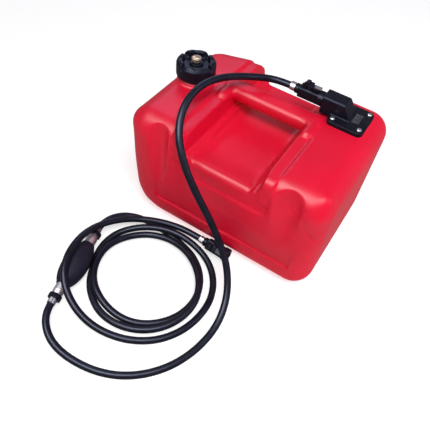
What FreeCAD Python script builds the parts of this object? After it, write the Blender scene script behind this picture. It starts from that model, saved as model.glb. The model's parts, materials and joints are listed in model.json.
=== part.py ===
import FreeCAD, Part
import math
import os
import re

import Sketcher

# A portable outboard fuel tank with its pickup, gauge and hand-primed fuel line.
# Millimetres and degrees. X runs along the tank's length, the filler cap at -X and the pickup at +X.
# -Y is the front, with the hand recess's lip, +Z is up, and the origin is the middle of the tank's base.

doc = FreeCAD.newDocument("outboard_fuel_tank")

# ---------------------------------------------------------------- driving dimensions

SIZES = {
    # blow-moulded tank
    "tank_length": 400,
    "tank_width": 286,
    "tank_height": 252,
    "side_lean": 10,
    "tank_round": 40,
    "wall": 4,
    # strap: the inset band that wraps over the middle of the top and down the front
    "strap_width": 200,
    "strap_inset": 4,
    "strap_foot": 166,
    "strap_round": 22,
    # hand recess and the channel behind the handle
    "recess_top_width": 154,
    "recess_waist_width": 146,
    "recess_ledge": 212,
    "ledge_width": 8,
    "recess_floor_width": 114,
    "recess_floor": 198,
    "recess_round": 14,
    "ramp_top": 210,
    "ramp_back": -96,
    "lip_round": 13,
    "rear_round": 5,
    # shoulders: the strap's two arms beside the recess, squarer than the tank where they roll over the front
    "shoulder_width": 19,
    "shoulder_length": 90,
    "shoulder_high": 60,
    "shoulder_round": 18,
    # carrying handle
    "handle_y": 33,
    "handle_deep": 41,
    "handle_high": 30,
    "handle_rise": 4.5,
    "handle_inset": 4,
    "arm_reach": 38,
    "arm_round": 13,
    # front scoops and the label panel low on the front
    "scoop_left_x": -127,
    "scoop_left_round": 26,
    "scoop_right_x": 131,
    "scoop_right_round": 31,
    "scoop_depth": 19,
    "scoop_drop": 150,
    "label_low": 58,
    "label_high": 118,
    "label_left": -138,
    "label_right": 162,
    "label_inset": 4,
    # filler neck
    "neck_x": -152,
    "neck_y": 3,
    "neck_bore": 24.5,
    "neck_wall": 4.5,
    "neck_height": 22,
    "collar_round": 35,
    "collar_height": 7,
    # filler cap
    "cap_radius": 37,
    "cap_height": 29,
    "crest_lean": 5.5,
    "crest_drop": 7,
    "cap_turned": 34,
    "cap_overlap": 12,
    "cap_deck": 3.5,
    "cap_clearance": 1.2,
    "cap_dish": 25,
    "cap_hub": 12,
    "cap_hub_rise": 5.5,
    "cap_round": 2.5,
    "notch_round": 5.5,
    "dip_round": 20,
    "dip_depth": 2,
    "gasket_thick": 2.5,
    # vent screw in the cap
    "vent_shank": 4,
    "vent_head": 8.9,
    "vent_head_high": 7.5,
    "vent_edge": 0.8,
    "vent_slot": 1.8,
    "vent_washer": 2,
    "vent_below": 4,
    # pickup flange
    "pickup_x": 135,
    "pickup_y": 71,
    "flange_x": 68,
    "flange_y": 72,
    "flange_thick": 6,
    "flange_round": 10,
    "flange_gasket": 2,
    "pad_rise": 0.6,
    "pad_margin": 1,
    "mouth_radius": 25,
    "screw_pitch": 51,
    "screw_shank": 2.4,
    "screw_head": 4.6,
    "screw_head_high": 2.8,
    "screw_crown": 3.2,
    "screw_length": 16,
    "insert_radius": 4,
    "insert_length": 9,
    "boss_radius": 6.5,
    # outlet hood on the flange
    "hood_reach": 55,
    "hood_tail": 3,
    "hood_width": 32,
    "hood_height": 27.5,
    "hood_round": 6,
    "hood_slope": 17,
    "axis_height": 10.5,
    # gauge
    "window_wide": 14,
    "window_long": 28,
    "window_offset": 12,
    "window_sunk": 1,
    "window_proud": 1.5,
    "window_ledge": 2,
    "gauge_slot": 10,
    "pin_radius": 1.5,
    "pin_drop": 15,
    "drum_radius": 8,
    "drum_width": 8,
    "ear_gap": 0.6,
    "ear_thick": 3,
    "ear_width": 8,
    "arm_length": 185,
    "arm_wire": 1.6,
    "float_radius": 13,
    "float_length": 34,
    # pickup tube
    "tube_radius": 5,
    "tube_bore": 3.4,
    "tube_offset": -16,
    "tube_end": 18,
    "strainer_gap": 4,
    "strainer_radius": 8.5,
    "strainer_length": 24,
    "strainer_wall": 1.5,
    "strainer_floor": 2,
    "strainer_head": 6,
    "socket_radius": 8,
    "socket_length": 14,
    "socket_stop": 2,
    # outlet spigot and the hose couplers
    "spigot_radius": 7,
    "spigot_bore": 3.2,
    "spigot_reach": 20,
    "spigot_seat": 12,
    "coupler_mouth_gap": 0.6,
    "coupler_length": 49,
    "coupler_width": 22,
    "coupler_high": 21,
    "coupler_round": 4,
    "coupler_collar": 13.5,
    "collar_length": 11,
    "socket_depth": 24,
    "ferrule_radius": 9.2,
    "ferrule_length": 8,
    "barb_radius": 4.5,
    "barb_bore": 3,
    "barb_seat": 14,
    "barb_length": 10,
    "oring_thick": 1.6,
    "oring_at": 18,
    "plunger_radius": 3,
    "plunger_length": 14,
    "plunger_travel": 3,
    # latch lever on each coupler
    "lever_width": 11,
    "lever_thick": 4,
    "lever_gap": 3,
    "lever_low": 0.8,
    "lever_pivot": 30,
    "lever_back": 45,
    "lever_pin": 1.5,
    "lever_lug": 7,
    "lever_lug_thick": 2.5,
    "nose_at": 14.5,
    "nose_thick": 3,
    "nose_swing": 1,
    "tab_root": 24.5,
    "tab_tip": 27.5,
    "tab_crest": 4,
    "tab_height": 25,
    "tab_round": 1.6,
    "plate_length": 13,
    "plate_shift": 1.5,
    "plate_width": 8.5,
    "plate_thick": 1.2,
    # where the engine's coupler lies
    "engine_x": 46,
    "engine_y": -154,
    "engine_height": 14,
    "engine_turn": 178,
    "engine_roll": -45,
    # hose and clamps
    "hose_diameter": 13,
    "coupler_lead": 28,
    "inlet_lead": 20,
    "outlet_lead": 22,
    "clamp_thick": 1,
    "clamp_width": 9,
    "clamp_ear": 3,
    "clamp_ear_width": 4,
    "clamp_gap": 1,
    # primer bulb and check valves
    "bulb_radius": 24.5,
    "bulb_reach": 54,
    "bulb_length": 96,
    "bulb_wall": 5,
    "bulb_neck": 12.5,
    "bulb_height": 25,
    "bulb_turn": 103.7,
    "bulb_x": -172.5,
    "bulb_y": -343.2,
    "plug_radius": 9,
    "plug_length": 12,
    "valve_radius": 10.5,
    "valve_tip": 9.2,
    "valve_length": 22,
    "valve_bore": 3,
    "chamber_start": 5,
    "nut_radius": 12,
    "nut_length": 8,
    "ball_radius": 4,
    "ball_travel": 3,
    # running and seating clearances
    "running_fit": 0.05,
    "seat_gap": 0.3,
}

sheet = doc.addObject("Spreadsheet::Sheet", "Sizes")
for row, (alias, value) in enumerate(SIZES.items(), start=1):
    sheet.set(f"A{row}", alias)
    sheet.set(f"B{row}", str(value))
    sheet.setAlias(f"B{row}", alias)
doc.recompute()


def bound(formula):
    """A formula in the sheet's own words, as an expression that FreeCAD can bind."""
    return re.sub(r"[a-z][a-z_]+", lambda word: f"Sizes.{word[0]}" if word[0] in SIZES else word[0],
                  str(formula))


def value_of(formula):
    """The number that a formula gives with the sheet's present sizes."""
    result = sheet.evalExpression(bound(formula))
    return float(getattr(result, "Value", result))


# ---------------------------------------------------------------- building helpers

def bind(thing, **formulas):
    """Tie properties of a document object to formulas; double underscores stand for dots."""
    for path, formula in formulas.items():
        thing.setExpression(path.replace("__", "."), bound(formula))


TURNS = {
    "z": FreeCAD.Rotation(),
    "x": FreeCAD.Rotation(FreeCAD.Vector(0, 1, 0), 90),
    "y": FreeCAD.Rotation(FreeCAD.Vector(1, 0, 0), -90),
}


def put(thing, at, along="z"):
    """Place an object at three formulas, its own Z turned along the named axis or rotation."""
    turn = TURNS.get(along, along) if isinstance(along, str) else along
    thing.Placement = FreeCAD.Placement(FreeCAD.Vector(), turn)
    bind(thing, Placement__Base__x=at[0], Placement__Base__y=at[1], Placement__Base__z=at[2])
    return thing


def box(name, size, at):
    """A box whose place is the middle of its underside."""
    thing = doc.addObject("Part::Box", name)
    bind(thing, Length=size[0], Width=size[1], Height=size[2])
    return put(thing, (f"{at[0]} - ({size[0]})/2", f"{at[1]} - ({size[1]})/2", at[2]))


def cylinder(name, radius, height, at=(0, 0, 0), along="z"):
    thing = doc.addObject("Part::Cylinder", name)
    bind(thing, Radius=radius, Height=height)
    return put(thing, at, along)


def cone(name, low_radius, high_radius, height, at=(0, 0, 0), along="z"):
    thing = doc.addObject("Part::Cone", name)
    bind(thing, Radius1=low_radius, Radius2=high_radius, Height=height)
    return put(thing, at, along)


def ball(name, radius, at=(0, 0, 0)):
    thing = doc.addObject("Part::Sphere", name)
    bind(thing, Radius=radius)
    return put(thing, at)


def torus(name, radius, wire, at=(0, 0, 0), along="z"):
    thing = doc.addObject("Part::Torus", name)
    bind(thing, Radius1=radius, Radius2=wire)
    return put(thing, at, along)


def fuse(name, *pieces):
    thing = doc.addObject("Part::MultiFuse", name)
    thing.Shapes = list(pieces)
    thing.Refine = True
    return thing


def cut(name, base, *tools):
    thing = doc.addObject("Part::Cut", name)
    thing.Base = base
    thing.Tool = tools[0] if len(tools) == 1 else fuse(f"{name}_tools", *tools)
    return thing


def common(name, base, tool):
    thing = doc.addObject("Part::Common", name)
    thing.Base = base
    thing.Tool = tool
    return thing


def single(name, thing):
    """One primitive held in its own frame, so that it can be placed again as a whole."""
    holder = doc.addObject("Part::Compound", name)
    holder.Links = [thing]
    return holder


def sketch_outline(body, name, role, corners):
    """A closed outline of straight edges on one of the body's own origin planes.
    Each corner's two coordinates are formulas, and a constraint holds each of them."""
    plane = next(feature for feature in body.Origin.OriginFeatures if feature.Role == role)
    sketch = body.newObject("Sketcher::SketchObject", name)
    sketch.AttachmentSupport = (plane, "")
    sketch.MapMode = "FlatFace"
    points = [FreeCAD.Vector(value_of(across), value_of(up), 0) for across, up in corners]
    for index, point in enumerate(points):
        sketch.addGeometry(Part.LineSegment(point, points[(index + 1) % len(points)]), False)
    for index in range(len(points)):
        sketch.addConstraint(Sketcher.Constraint("Coincident", index, 2, (index + 1) % len(points), 1))
    for index, (across, up) in enumerate(corners):
        for kind, formula, place in (("DistanceX", across, points[index].x),
                                     ("DistanceY", up, points[index].y)):
            number = sketch.addConstraint(Sketcher.Constraint(kind, -1, 1, index, 1, place))
            sketch.setExpression(f"Constraints[{number}]", bound(formula))
    return sketch


def padded(name, role, corners, length):
    """A body padded from an outline, half of its length on each side of the plane."""
    body = doc.addObject("PartDesign::Body", name)
    pad = body.newObject("PartDesign::Pad", f"{name}_pad")
    pad.Profile = sketch_outline(body, f"{name}_outline", role, corners)
    pad.Midplane = True
    bind(pad, Length=length)
    body.Tip = pad
    doc.recompute()
    return body


def revolved(name, corners):
    """A body turned about its own Z axis from an outline of radius and height pairs."""
    body = doc.addObject("PartDesign::Body", name)
    outline = sketch_outline(body, f"{name}_outline", "XZ_Plane", corners)
    turn = body.newObject("PartDesign::Revolution", f"{name}_turn")
    turn.Profile = outline
    turn.ReferenceAxis = (outline, ["V_Axis"])
    turn.Angle = 360
    body.Tip = turn
    doc.recompute()
    return body


def rounded(body, radius, picks):
    """Round those edges of a body's last feature that the test picks."""
    base = body.Tip
    names = [f"Edge{index}" for index, edge in enumerate(base.Shape.Edges, start=1) if picks(edge)]
    fillet = body.newObject("PartDesign::Fillet", f"{body.Name}_round_{len(body.Group)}")
    fillet.Base = (base, names)
    bind(fillet, Radius=radius)
    body.Tip = fillet
    doc.recompute()
    return body


def runs_along(edge, axis):
    """True for a straight edge that runs along the named axis, give or take a few degrees."""
    if edge.Curve.TypeId != "Part::GeomLine":
        return False
    run = edge.Vertexes[-1].Point - edge.Vertexes[0].Point
    return abs(getattr(run, axis)) > 0.98 * run.Length


NODES = []


def node(thing, name):
    """Name a finished sub-part; its label is its file's name."""
    thing.Label = name
    NODES.append(thing)
    return thing


def moved(thing, at, turn=0):
    """Place a finished sub-part by formulas, turned about Z."""
    thing.Placement = FreeCAD.Placement(FreeCAD.Vector(), FreeCAD.Rotation(FreeCAD.Vector(0, 0, 1), 1))
    bind(thing, Placement__Rotation__Angle=turn)
    bind(thing, Placement__Base__x=at[0], Placement__Base__y=at[1], Placement__Base__z=at[2])
    return thing


# ---------------------------------------------------------------- tank shell

def tank_block(name, offset, round_radius):
    """The tank's plain rounded form, brought in by an offset on every side."""
    low, high = f"({offset})", f"(tank_height - {offset})"
    half_low = f"(tank_width/2 - {offset} + side_lean*{offset}/tank_height)"
    half_high = f"(tank_width/2 - {offset} + side_lean - side_lean*{offset}/tank_height)"
    corners = [(f"-{half_low}", low), (half_low, low), (half_high, high), (f"-{half_high}", high)]
    body = padded(name, "YZ_Plane", corners, f"tank_length - 2*{offset}")
    return rounded(body, round_radius, lambda edge: True)


def recess_prism(name, offset, fillet):
    """The hand recess's section along Y: a flat floor, wide rounds up to a ledge, and steep walls above."""
    top = "(1.25*tank_height)"
    half_floor = f"(recess_floor_width/2 + {offset})"
    half_waist = f"(recess_waist_width/2 + {offset})"
    slope = "((recess_top_width - recess_waist_width)/2/(tank_height - recess_ledge))"
    half_top = f"({half_waist} + {slope}*({top} - recess_ledge))"
    floor = f"(recess_floor - {offset})"
    ledge = f"(recess_ledge - {offset})"
    right = [(half_floor, floor), (f"({half_waist} - ledge_width)", ledge), (half_waist, ledge),
             (half_top, top)]
    corners = [*right, *[(f"-{across}", up) for across, up in reversed(right)]]
    body = padded(name, "XZ_Plane", corners, "2*tank_width")
    low = value_of(floor) + 1
    return rounded(body, fillet, lambda edge: runs_along(edge, "y") and edge.BoundBox.ZMax < low)


def scoop(name, middle, radius, grow):
    """A leaning round channel that hollows a front corner at the top and fades out downwards."""
    thing = doc.addObject("Part::Cylinder", name)
    bind(thing, Radius=f"{radius} + {grow}", Height="2*tank_height")
    foot = f"-tank_width/2 + scoop_depth - {radius} - tank_height*scoop_depth/scoop_drop"
    thing.Placement = FreeCAD.Placement(FreeCAD.Vector(), FreeCAD.Rotation(FreeCAD.Vector(-1, 0, 0), 1))
    bind(thing, Placement__Rotation__Angle="atan(scoop_depth/scoop_drop - side_lean/tank_height)")
    bind(thing, Placement__Base__x=middle, Placement__Base__y=foot)
    return thing


def label_panel(name, grow):
    """The shallow wedge for a label low on the front: a ledge at its foot, fading out upwards."""
    foot = f"(label_low - {grow})"
    head = f"(label_high + {grow})"
    face_foot = f"-(tank_width/2 + side_lean*{foot}/tank_height) + label_inset + {grow}"
    face_head = f"-(tank_width/2 + side_lean*{head}/tank_height) + {grow}"
    corners = [("-tank_width", foot), (face_foot, foot), (face_head, head), ("-tank_width", head)]
    body = padded(name, "YZ_Plane", corners, f"label_right - label_left + 2*{grow}")
    bind(body, Placement__Base__x="(label_left + label_right)/2")
    return body


def strapped_block(name, offset):
    """The rounded form with the strap let into its front, top and back."""
    outer = tank_block(f"{name}_block", offset, f"tank_round - {offset}")
    inner = tank_block(f"{name}_inset", f"({offset} + strap_inset)", f"tank_round - {offset} - strap_inset")
    half = f"(strap_width/2 + {offset})"
    foot = f"(strap_foot - {offset})"
    corners = [(f"-{half}", foot), (half, foot), (half, "2*tank_height"), (f"-{half}", "2*tank_height")]
    strap = padded(f"{name}_strap", "XZ_Plane", corners, "2*tank_width")
    low = value_of(foot) + 1
    rounded(strap, f"strap_round + {offset}", lambda edge: runs_along(edge, "y") and edge.BoundBox.ZMax < low)
    return cut(name, outer, cut(f"{name}_skin", strap, inner))


strap_face = "(tank_width/2 + side_lean*ramp_top/tank_height - strap_inset)"
outer_form = strapped_block("outer_form", "0")
cavity_form = strapped_block("cavity_form", "wall")

# The recess floor climbs to the front lip, which rolls over into the strap.
ramp_corners = [
    ("ramp_back", "recess_floor - wall/2"),
    ("ramp_back", "recess_floor"),
    (f"-{strap_face}", "ramp_top"),
    (f"-{strap_face} + side_lean*lip_round/tank_height*2", "ramp_top - 2*lip_round"),
]
ramp = padded("lip_ramp", "YZ_Plane", ramp_corners, "recess_top_width")
ramp_crest = value_of("ramp_top") - 0.01
rounded(ramp, "lip_round", lambda edge: runs_along(edge, "x") and edge.BoundBox.ZMin > ramp_crest)

rear_face = "(tank_width/2 + side_lean*recess_floor/tank_height - strap_inset)"
rear_edge = cut(
    "rear_edge",
    box("rear_edge_block", ("recess_floor_width + 2*rear_round", "4*rear_round", "4*rear_round"),
        ("0", f"{rear_face} + rear_round", "recess_floor - rear_round")),
    cylinder("rear_edge_roll", "rear_round", "tank_length",
             ("-tank_length/2", f"{rear_face} - rear_round", "recess_floor - rear_round"), "x"))

handle_top = "(tank_height + handle_rise)"
handle_z = f"({handle_top} - handle_high/2)"
handle_corners = [
    ("handle_y - handle_deep/2", f"{handle_top} - handle_high"),
    ("handle_y + handle_deep/2", f"{handle_top} - handle_high"),
    ("handle_y + handle_deep/2", handle_top),
    ("handle_y - handle_deep/2", handle_top),
]
handle = padded("handle_bar", "YZ_Plane", handle_corners, "strap_width - 2*handle_inset")
rounded(handle, "handle_high/2 - 0.5", lambda edge: runs_along(edge, "x"))


def shoulder(side):
    """One of the strap's arms where it rolls over the front's top edge, more tightly than the tank does."""
    name = "left" if side < 0 else "right"
    face = "-(tank_width/2 + side_lean - strap_inset)"
    back = f"({face} + shoulder_length)"
    low, high = "(tank_height - shoulder_high)", "(tank_height - strap_inset)"
    corners = [(face, low), (back, low), (back, high), (face, high)]
    body = padded(f"{name}_shoulder", "YZ_Plane", corners, "shoulder_width")
    front = value_of(face) + 0.01
    crest = value_of(high) - 0.01
    rounded(body, "shoulder_round", lambda edge: runs_along(edge, "x") and edge.BoundBox.YMax < front
            and edge.BoundBox.ZMin > crest)
    bind(body, Placement__Base__x=f"{side}*(strap_width + recess_top_width)/4")
    return body


def handle_arm(side):
    """The forearm by which the handle runs into the strap, ending in a round nose."""
    name = "left" if side < 0 else "right"
    middle = f"{side}*(strap_width/2 - arm_round)"
    height = f"({handle_top} - arm_round)"
    nose_y = "(handle_y - arm_reach)"
    bar = cylinder(f"{name}_arm", "arm_round", "arm_reach", (middle, nose_y, height), "y")
    return [bar, ball(f"{name}_nose", "arm_round", (middle, nose_y, height))]


collar_foot = "(tank_height - 3*collar_height)"
neck_top = "(tank_height + neck_height)"
pad_top = "(tank_height + pad_rise)"
boss_foot = f"({pad_top} - insert_length - 2*wall)"


def pickup_plate(name, margin, thickness, foot):
    """A plate with the outline of the pickup's flange and a margin, lying on its foot's height."""
    across, along = f"(flange_x/2 + {margin})", f"(flange_y/2 + {margin})"
    plate = padded(name, "XY_Plane", [
        (f"-{across}", f"-{along}"), (across, f"-{along}"),
        (across, along), (f"-{across}", along)], thickness)
    rounded(plate, "flange_round", lambda edge: runs_along(edge, "z"))
    return put(plate, ("pickup_x", "pickup_y", f"{foot} + {thickness}/2"))


flange_pad = pickup_plate("flange_pad", "pad_margin", "2*wall", f"{pad_top} - 2*wall")
flange_room = pickup_plate("flange_room", "pad_margin", "tank_height", pad_top)


def at_screws(make):
    """Four copies about the pickup's middle, one for each flange screw."""
    places = [(-1, -1), (1, -1), (1, 1), (-1, 1)]
    return [make(number, f"pickup_x + {across}*screw_pitch/2", f"pickup_y + {along}*screw_pitch/2")
            for number, (across, along) in enumerate(places, start=1)]


skin = cut("skin", outer_form, recess_prism("recess", "0", "recess_round"),
           scoop("scoop_left", "scoop_left_x", "scoop_left_round", "0"),
           scoop("scoop_right", "scoop_right_x", "scoop_right_round", "0"),
           label_panel("label", "0"), rear_edge)
solid_form = fuse("solid_form", skin, ramp, shoulder(-1), shoulder(1),
                  handle, *handle_arm(-1), *handle_arm(1),
                  cylinder("collar", "collar_round", "4*collar_height", ("neck_x", "neck_y", collar_foot)),
                  cylinder("neck", "neck_bore + neck_wall", f"{neck_top} - {collar_foot}",
                           ("neck_x", "neck_y", collar_foot)), flange_pad)
insert_bosses = at_screws(
    lambda number, x, y: cylinder(f"boss_{number}", "boss_radius", "4*insert_length", (x, y, boss_foot)))
insert_holes = at_screws(
    lambda number, x, y: cylinder(f"insert_hole_{number}", "insert_radius + running_fit",
                                  "2*insert_length", (x, y, f"{pad_top} - insert_length")))
cavity = cut("cavity", cavity_form, recess_prism("recess_wall", "wall", "recess_round + wall"),
             scoop("scoop_left_wall", "scoop_left_x", "scoop_left_round", "wall"),
             scoop("scoop_right_wall", "scoop_right_x", "scoop_right_round", "wall"),
             label_panel("label_wall", "wall"), *insert_bosses)
tank_shell = cut("tank_shell", solid_form, cavity,
                 cylinder("neck_hole", "neck_bore", "3*neck_height",
                          ("neck_x", "neck_y", f"{neck_top} - 2*neck_height")),
                 cylinder("mouth_hole", "mouth_radius", "4*wall",
                          ("pickup_x", "pickup_y", f"{pad_top} - 3*wall")),
                 flange_room, *insert_holes)
node(tank_shell, "tank_shell")


# ---------------------------------------------------------------- filler cap, its gasket and the vent screw

def ring(name, outer, inner, height, at, along="z"):
    """A plain ring that starts at a place and runs along an axis."""
    return cut(name, cylinder(f"{name}_disc", outer, height, at, along),
               cylinder(f"{name}_hole", inner, height, at, along))


node(fuse("inserts", *at_screws(
    lambda number, x, y: ring(f"insert_{number}", "insert_radius", "screw_shank + running_fit",
                              "insert_length", (x, y, f"{pad_top} - insert_length")))), "threaded_inserts")

cap_foot = f"({neck_top} - cap_overlap)"
cap_bore = "(neck_bore + neck_wall + cap_clearance)"
vent_hole = "(vent_shank + running_fit)"
deck_low = "(cap_overlap + gasket_thick)"
deck_top = f"({deck_low} + cap_deck)"
hub_top = f"({deck_top} + cap_hub_rise)"
cap_place = ("neck_x", "neck_y", cap_foot)


def cap_notch(angle):
    """The round-bottomed notch between two of the cap's grip lugs."""
    start = "cap_dish - notch_round"
    foot = f"{deck_top} + notch_round"
    tool = fuse(f"notch_{angle}",
                cylinder(f"notch_{angle}_bed", "notch_round", "cap_radius", (start, "0", foot), "x"),
                box(f"notch_{angle}_gap", ("cap_radius", "2*notch_round", "cap_height"),
                    (f"{start} + cap_radius/2", "0", foot)))
    return moved(tool, cap_place, f"cap_turned + {angle}")


def lug_dip(angle):
    """The shallow dip in the middle of a grip lug's top."""
    tool = cylinder(f"dip_{angle}_round", "dip_round", "cap_radius",
                    ("cap_hub", "0", "cap_height + dip_round - dip_depth"), "x")
    return moved(single(f"dip_{angle}", tool), cap_place, f"cap_turned + {angle}")


cap_blank = revolved("cap_blank", [
    (vent_hole, deck_low), (cap_bore, deck_low), (cap_bore, "0"), ("cap_radius", "0"),
    ("cap_radius", "cap_height - crest_drop"), ("cap_radius - crest_lean", "cap_height"),
    ("cap_dish", "cap_height"), ("cap_dish", deck_top),
    ("cap_hub", deck_top), ("cap_hub", hub_top), (vent_hole, hub_top)])
lug_crest = value_of("cap_height") - 0.01
rounded(cap_blank, "cap_round", lambda edge: edge.BoundBox.ZMin > lug_crest)
put(cap_blank, cap_place)
filler_cap = cut("cap", cap_blank, *[cap_notch(angle) for angle in (45, 135, 225, 315)],
                 *[lug_dip(angle) for angle in (0, 90, 180, 270)])
node(filler_cap, "filler_cap")
node(ring("cap_seal", "neck_bore + neck_wall", "neck_bore", "gasket_thick",
          ("neck_x", "neck_y", neck_top)), "cap_gasket")

washer_foot = f"({cap_foot} + {hub_top})"
head_foot = f"({washer_foot} + vent_washer)"
node(ring("vent_seal", "vent_head - vent_edge", vent_hole, "vent_washer",
          ("neck_x", "neck_y", washer_foot)), "vent_washer")
shank_tip = "-(vent_washer + cap_hub_rise + cap_deck + vent_below)"
vent_blank = revolved("vent_blank", [
    ("0", shank_tip), ("vent_shank", shank_tip), ("vent_shank", "0"), ("vent_head", "0"),
    ("vent_head", "vent_head_high - vent_edge"), ("vent_head - vent_edge", "vent_head_high"),
    ("0", "vent_head_high")])
put(vent_blank, ("neck_x", "neck_y", head_foot))
vent_slot = box("vent_slot", ("3*vent_head", "vent_slot", "vent_head_high"),
                ("neck_x", "neck_y", f"{head_foot} + vent_head_high - vent_slot"))
node(cut("vent", vent_blank, vent_slot), "vent_screw")


# ---------------------------------------------------------------- pickup flange, hood and outlet

housing_foot = f"({pad_top} + flange_gasket)"
flange_top = f"({housing_foot} + flange_thick)"
outlet_z = f"({flange_top} + axis_height)"
hood_face = "(pickup_x - hood_reach)"
tube_x = "(pickup_x + tube_offset)"
window_x = "(pickup_x + window_offset)"


def screw_holes(name, foot):
    return at_screws(lambda number, x, y: cylinder(
        f"{name}_hole_{number}", "screw_shank + seat_gap", "flange_thick + flange_gasket", (x, y, foot)))


node(cut("gasket", pickup_plate("gasket_plate", "0", "flange_gasket", pad_top),
         cylinder("gasket_mouth", "mouth_radius", "flange_gasket", ("pickup_x", "pickup_y", pad_top)),
         *screw_holes("gasket", pad_top)), "pickup_gasket")

hood = padded("hood", "XZ_Plane", [
    ("-hood_reach", "0"), ("hood_tail", "0"), ("hood_tail", "flange_thick"),
    ("hood_tail - hood_slope", "flange_thick + hood_height"),
    ("-hood_reach", "flange_thick + hood_height")], "hood_width")
hood_crest = value_of("flange_thick + hood_height") - 0.01
rounded(hood, "hood_round", lambda edge: runs_along(edge, "x") and edge.BoundBox.ZMin > hood_crest)
put(hood, ("pickup_x", "pickup_y", housing_foot))
socket = cylinder("tube_socket", "socket_radius", "socket_length + flange_thick",
                  (tube_x, "pickup_y", f"{housing_foot} - socket_length"))
flange = pickup_plate("flange", "0", "flange_thick", housing_foot)
node(cut("housing", fuse("housing_form", flange, hood, socket),
         cylinder("tube_seat", "tube_radius + running_fit", "socket_length - socket_stop",
                  (tube_x, "pickup_y", f"{housing_foot} - socket_length")),
         cylinder("riser_bore", "spigot_bore", f"{outlet_z} - {housing_foot} + socket_length",
                  (tube_x, "pickup_y", f"{housing_foot} - socket_length")),
         cylinder("outlet_bore", "spigot_bore", f"{tube_x} - {hood_face}",
                  (hood_face, "pickup_y", outlet_z), "x"),
         cylinder("spigot_seat_bore", "spigot_radius + running_fit", "spigot_seat",
                  (hood_face, "pickup_y", outlet_z), "x"),
         box("window_opening", ("gauge_slot", "window_long - 2*window_ledge", "2*flange_thick"),
             (window_x, "pickup_y", housing_foot)),
         box("window_rebate", ("window_wide", "window_long", "flange_thick"),
             (window_x, "pickup_y", f"{flange_top} - window_sunk")),
         *screw_holes("flange", housing_foot)), "pickup_housing")

node(fuse("screws", *at_screws(lambda number, x, y: fuse(
    f"screw_{number}",
    cylinder(f"shank_{number}", "screw_shank", "screw_length", (x, y, f"{flange_top} - screw_length")),
    cone(f"head_{number}", "screw_head", "screw_crown", "screw_head_high", (x, y, flange_top))))),
     "flange_screws")

node(cut("tube", cylinder("tube_wall", "tube_radius", f"{housing_foot} - socket_stop - tube_end",
                          (tube_x, "pickup_y", "tube_end")),
         cylinder("tube_bore_hole", "tube_bore", "tank_height", (tube_x, "pickup_y", "tube_end"))),
     "pickup_tube")
strainer_foot = "(wall + strainer_gap)"
node(cut("strainer", cylinder("strainer_cup", "strainer_radius", "strainer_length",
                              (tube_x, "pickup_y", strainer_foot)),
         cylinder("strainer_hollow", "strainer_radius - strainer_wall",
                  "strainer_length - strainer_floor - strainer_head",
                  (tube_x, "pickup_y", f"{strainer_foot} + strainer_floor")),
         cylinder("strainer_neck", "tube_radius + running_fit", "strainer_length",
                  (tube_x, "pickup_y", f"{strainer_foot} + strainer_length/2"))), "pickup_strainer")

spigot_length = "(spigot_reach + spigot_seat)"
node(ring("spigot", "spigot_radius", "spigot_bore", spigot_length,
          (f"{hood_face} - spigot_reach", "pickup_y", outlet_z), "x"), "outlet_spigot")


# ---------------------------------------------------------------- fuel gauge

pin_z = f"({housing_foot} - pin_drop)"
ear_middle = "(drum_width/2 + ear_gap + ear_thick/2)"
bracket_width = "(drum_width + 2*ear_gap + 2*ear_thick)"

node(box("window",
         ("window_wide - 2*running_fit", "window_long - 2*running_fit", "window_sunk + window_proud"),
         (window_x, "pickup_y", f"{flange_top} - window_sunk")), "gauge_window")


def bracket_ear(side):
    name = "left" if side < 0 else "right"
    return box(f"ear_{name}", ("ear_thick", "ear_width", "pin_drop + ear_width/2"),
               (f"{window_x} + {side}*{ear_middle}", "pickup_y", f"{pin_z} - ear_width/2"))


node(cut("bracket", fuse("bracket_form", bracket_ear(-1), bracket_ear(1),
                         box("bracket_plate", (bracket_width, "window_long", "ear_thick/2"),
                             (window_x, "pickup_y", f"{housing_foot} - ear_thick/2"))),
         box("bracket_slot", ("drum_width + 2*ear_gap", "window_long - 2*window_ledge", "ear_thick"),
             (window_x, "pickup_y", f"{housing_foot} - ear_thick/2")),
         cylinder("pin_hole", "pin_radius + running_fit", bracket_width,
                  (f"{window_x} - {bracket_width}/2", "pickup_y", pin_z), "x")), "gauge_bracket")
node(cylinder("gauge_pin", "pin_radius", bracket_width,
              (f"{window_x} - {bracket_width}/2", "pickup_y", pin_z), "x"), "gauge_pivot_pin")

float_z = f"({pin_z} - arm_length)"
node(cut("gauge_arm", fuse("gauge_arm_form",
                           cylinder("drum", "drum_radius", "drum_width",
                                    (f"{window_x} - drum_width/2", "pickup_y", pin_z), "x"),
                           cylinder("arm_rod", "arm_wire", "arm_length - drum_radius/2",
                                    (window_x, "pickup_y", float_z))),
         cylinder("drum_bore", "pin_radius + running_fit", "drum_width",
                  (f"{window_x} - drum_width/2", "pickup_y", pin_z), "x")), "gauge_float_arm")
node(cut("float", cylinder("float_body", "float_radius", "float_length",
                           (f"{window_x} - float_length/2", "pickup_y", float_z), "x"),
         cylinder("float_hole", "arm_wire + running_fit", "2*float_radius", (window_x, "pickup_y", float_z))),
     "gauge_float")


# ---------------------------------------------------------------- couplers at both ends of the line

def seated(thing, frame, turn=None):
    """Place a sub-part, built along X from its own frame's origin, in a frame of place, turn and roll."""
    place, yaw, roll = frame
    rotation = FreeCAD.Rotation(value_of(yaw), 0, roll)
    thing.Placement = FreeCAD.Placement(FreeCAD.Vector(), rotation.multiply(turn) if turn else rotation)
    bind(thing, Placement__Base__x=place[0], Placement__Base__y=place[1], Placement__Base__z=place[2])
    return thing


def along_frame(frame, distance):
    """The place at a distance along a frame's X axis, which lies level."""
    place, yaw, _ = frame
    return (f"{place[0]} + ({distance})*cos({yaw})", f"{place[1]} + ({distance})*sin({yaw})", place[2])


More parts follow.
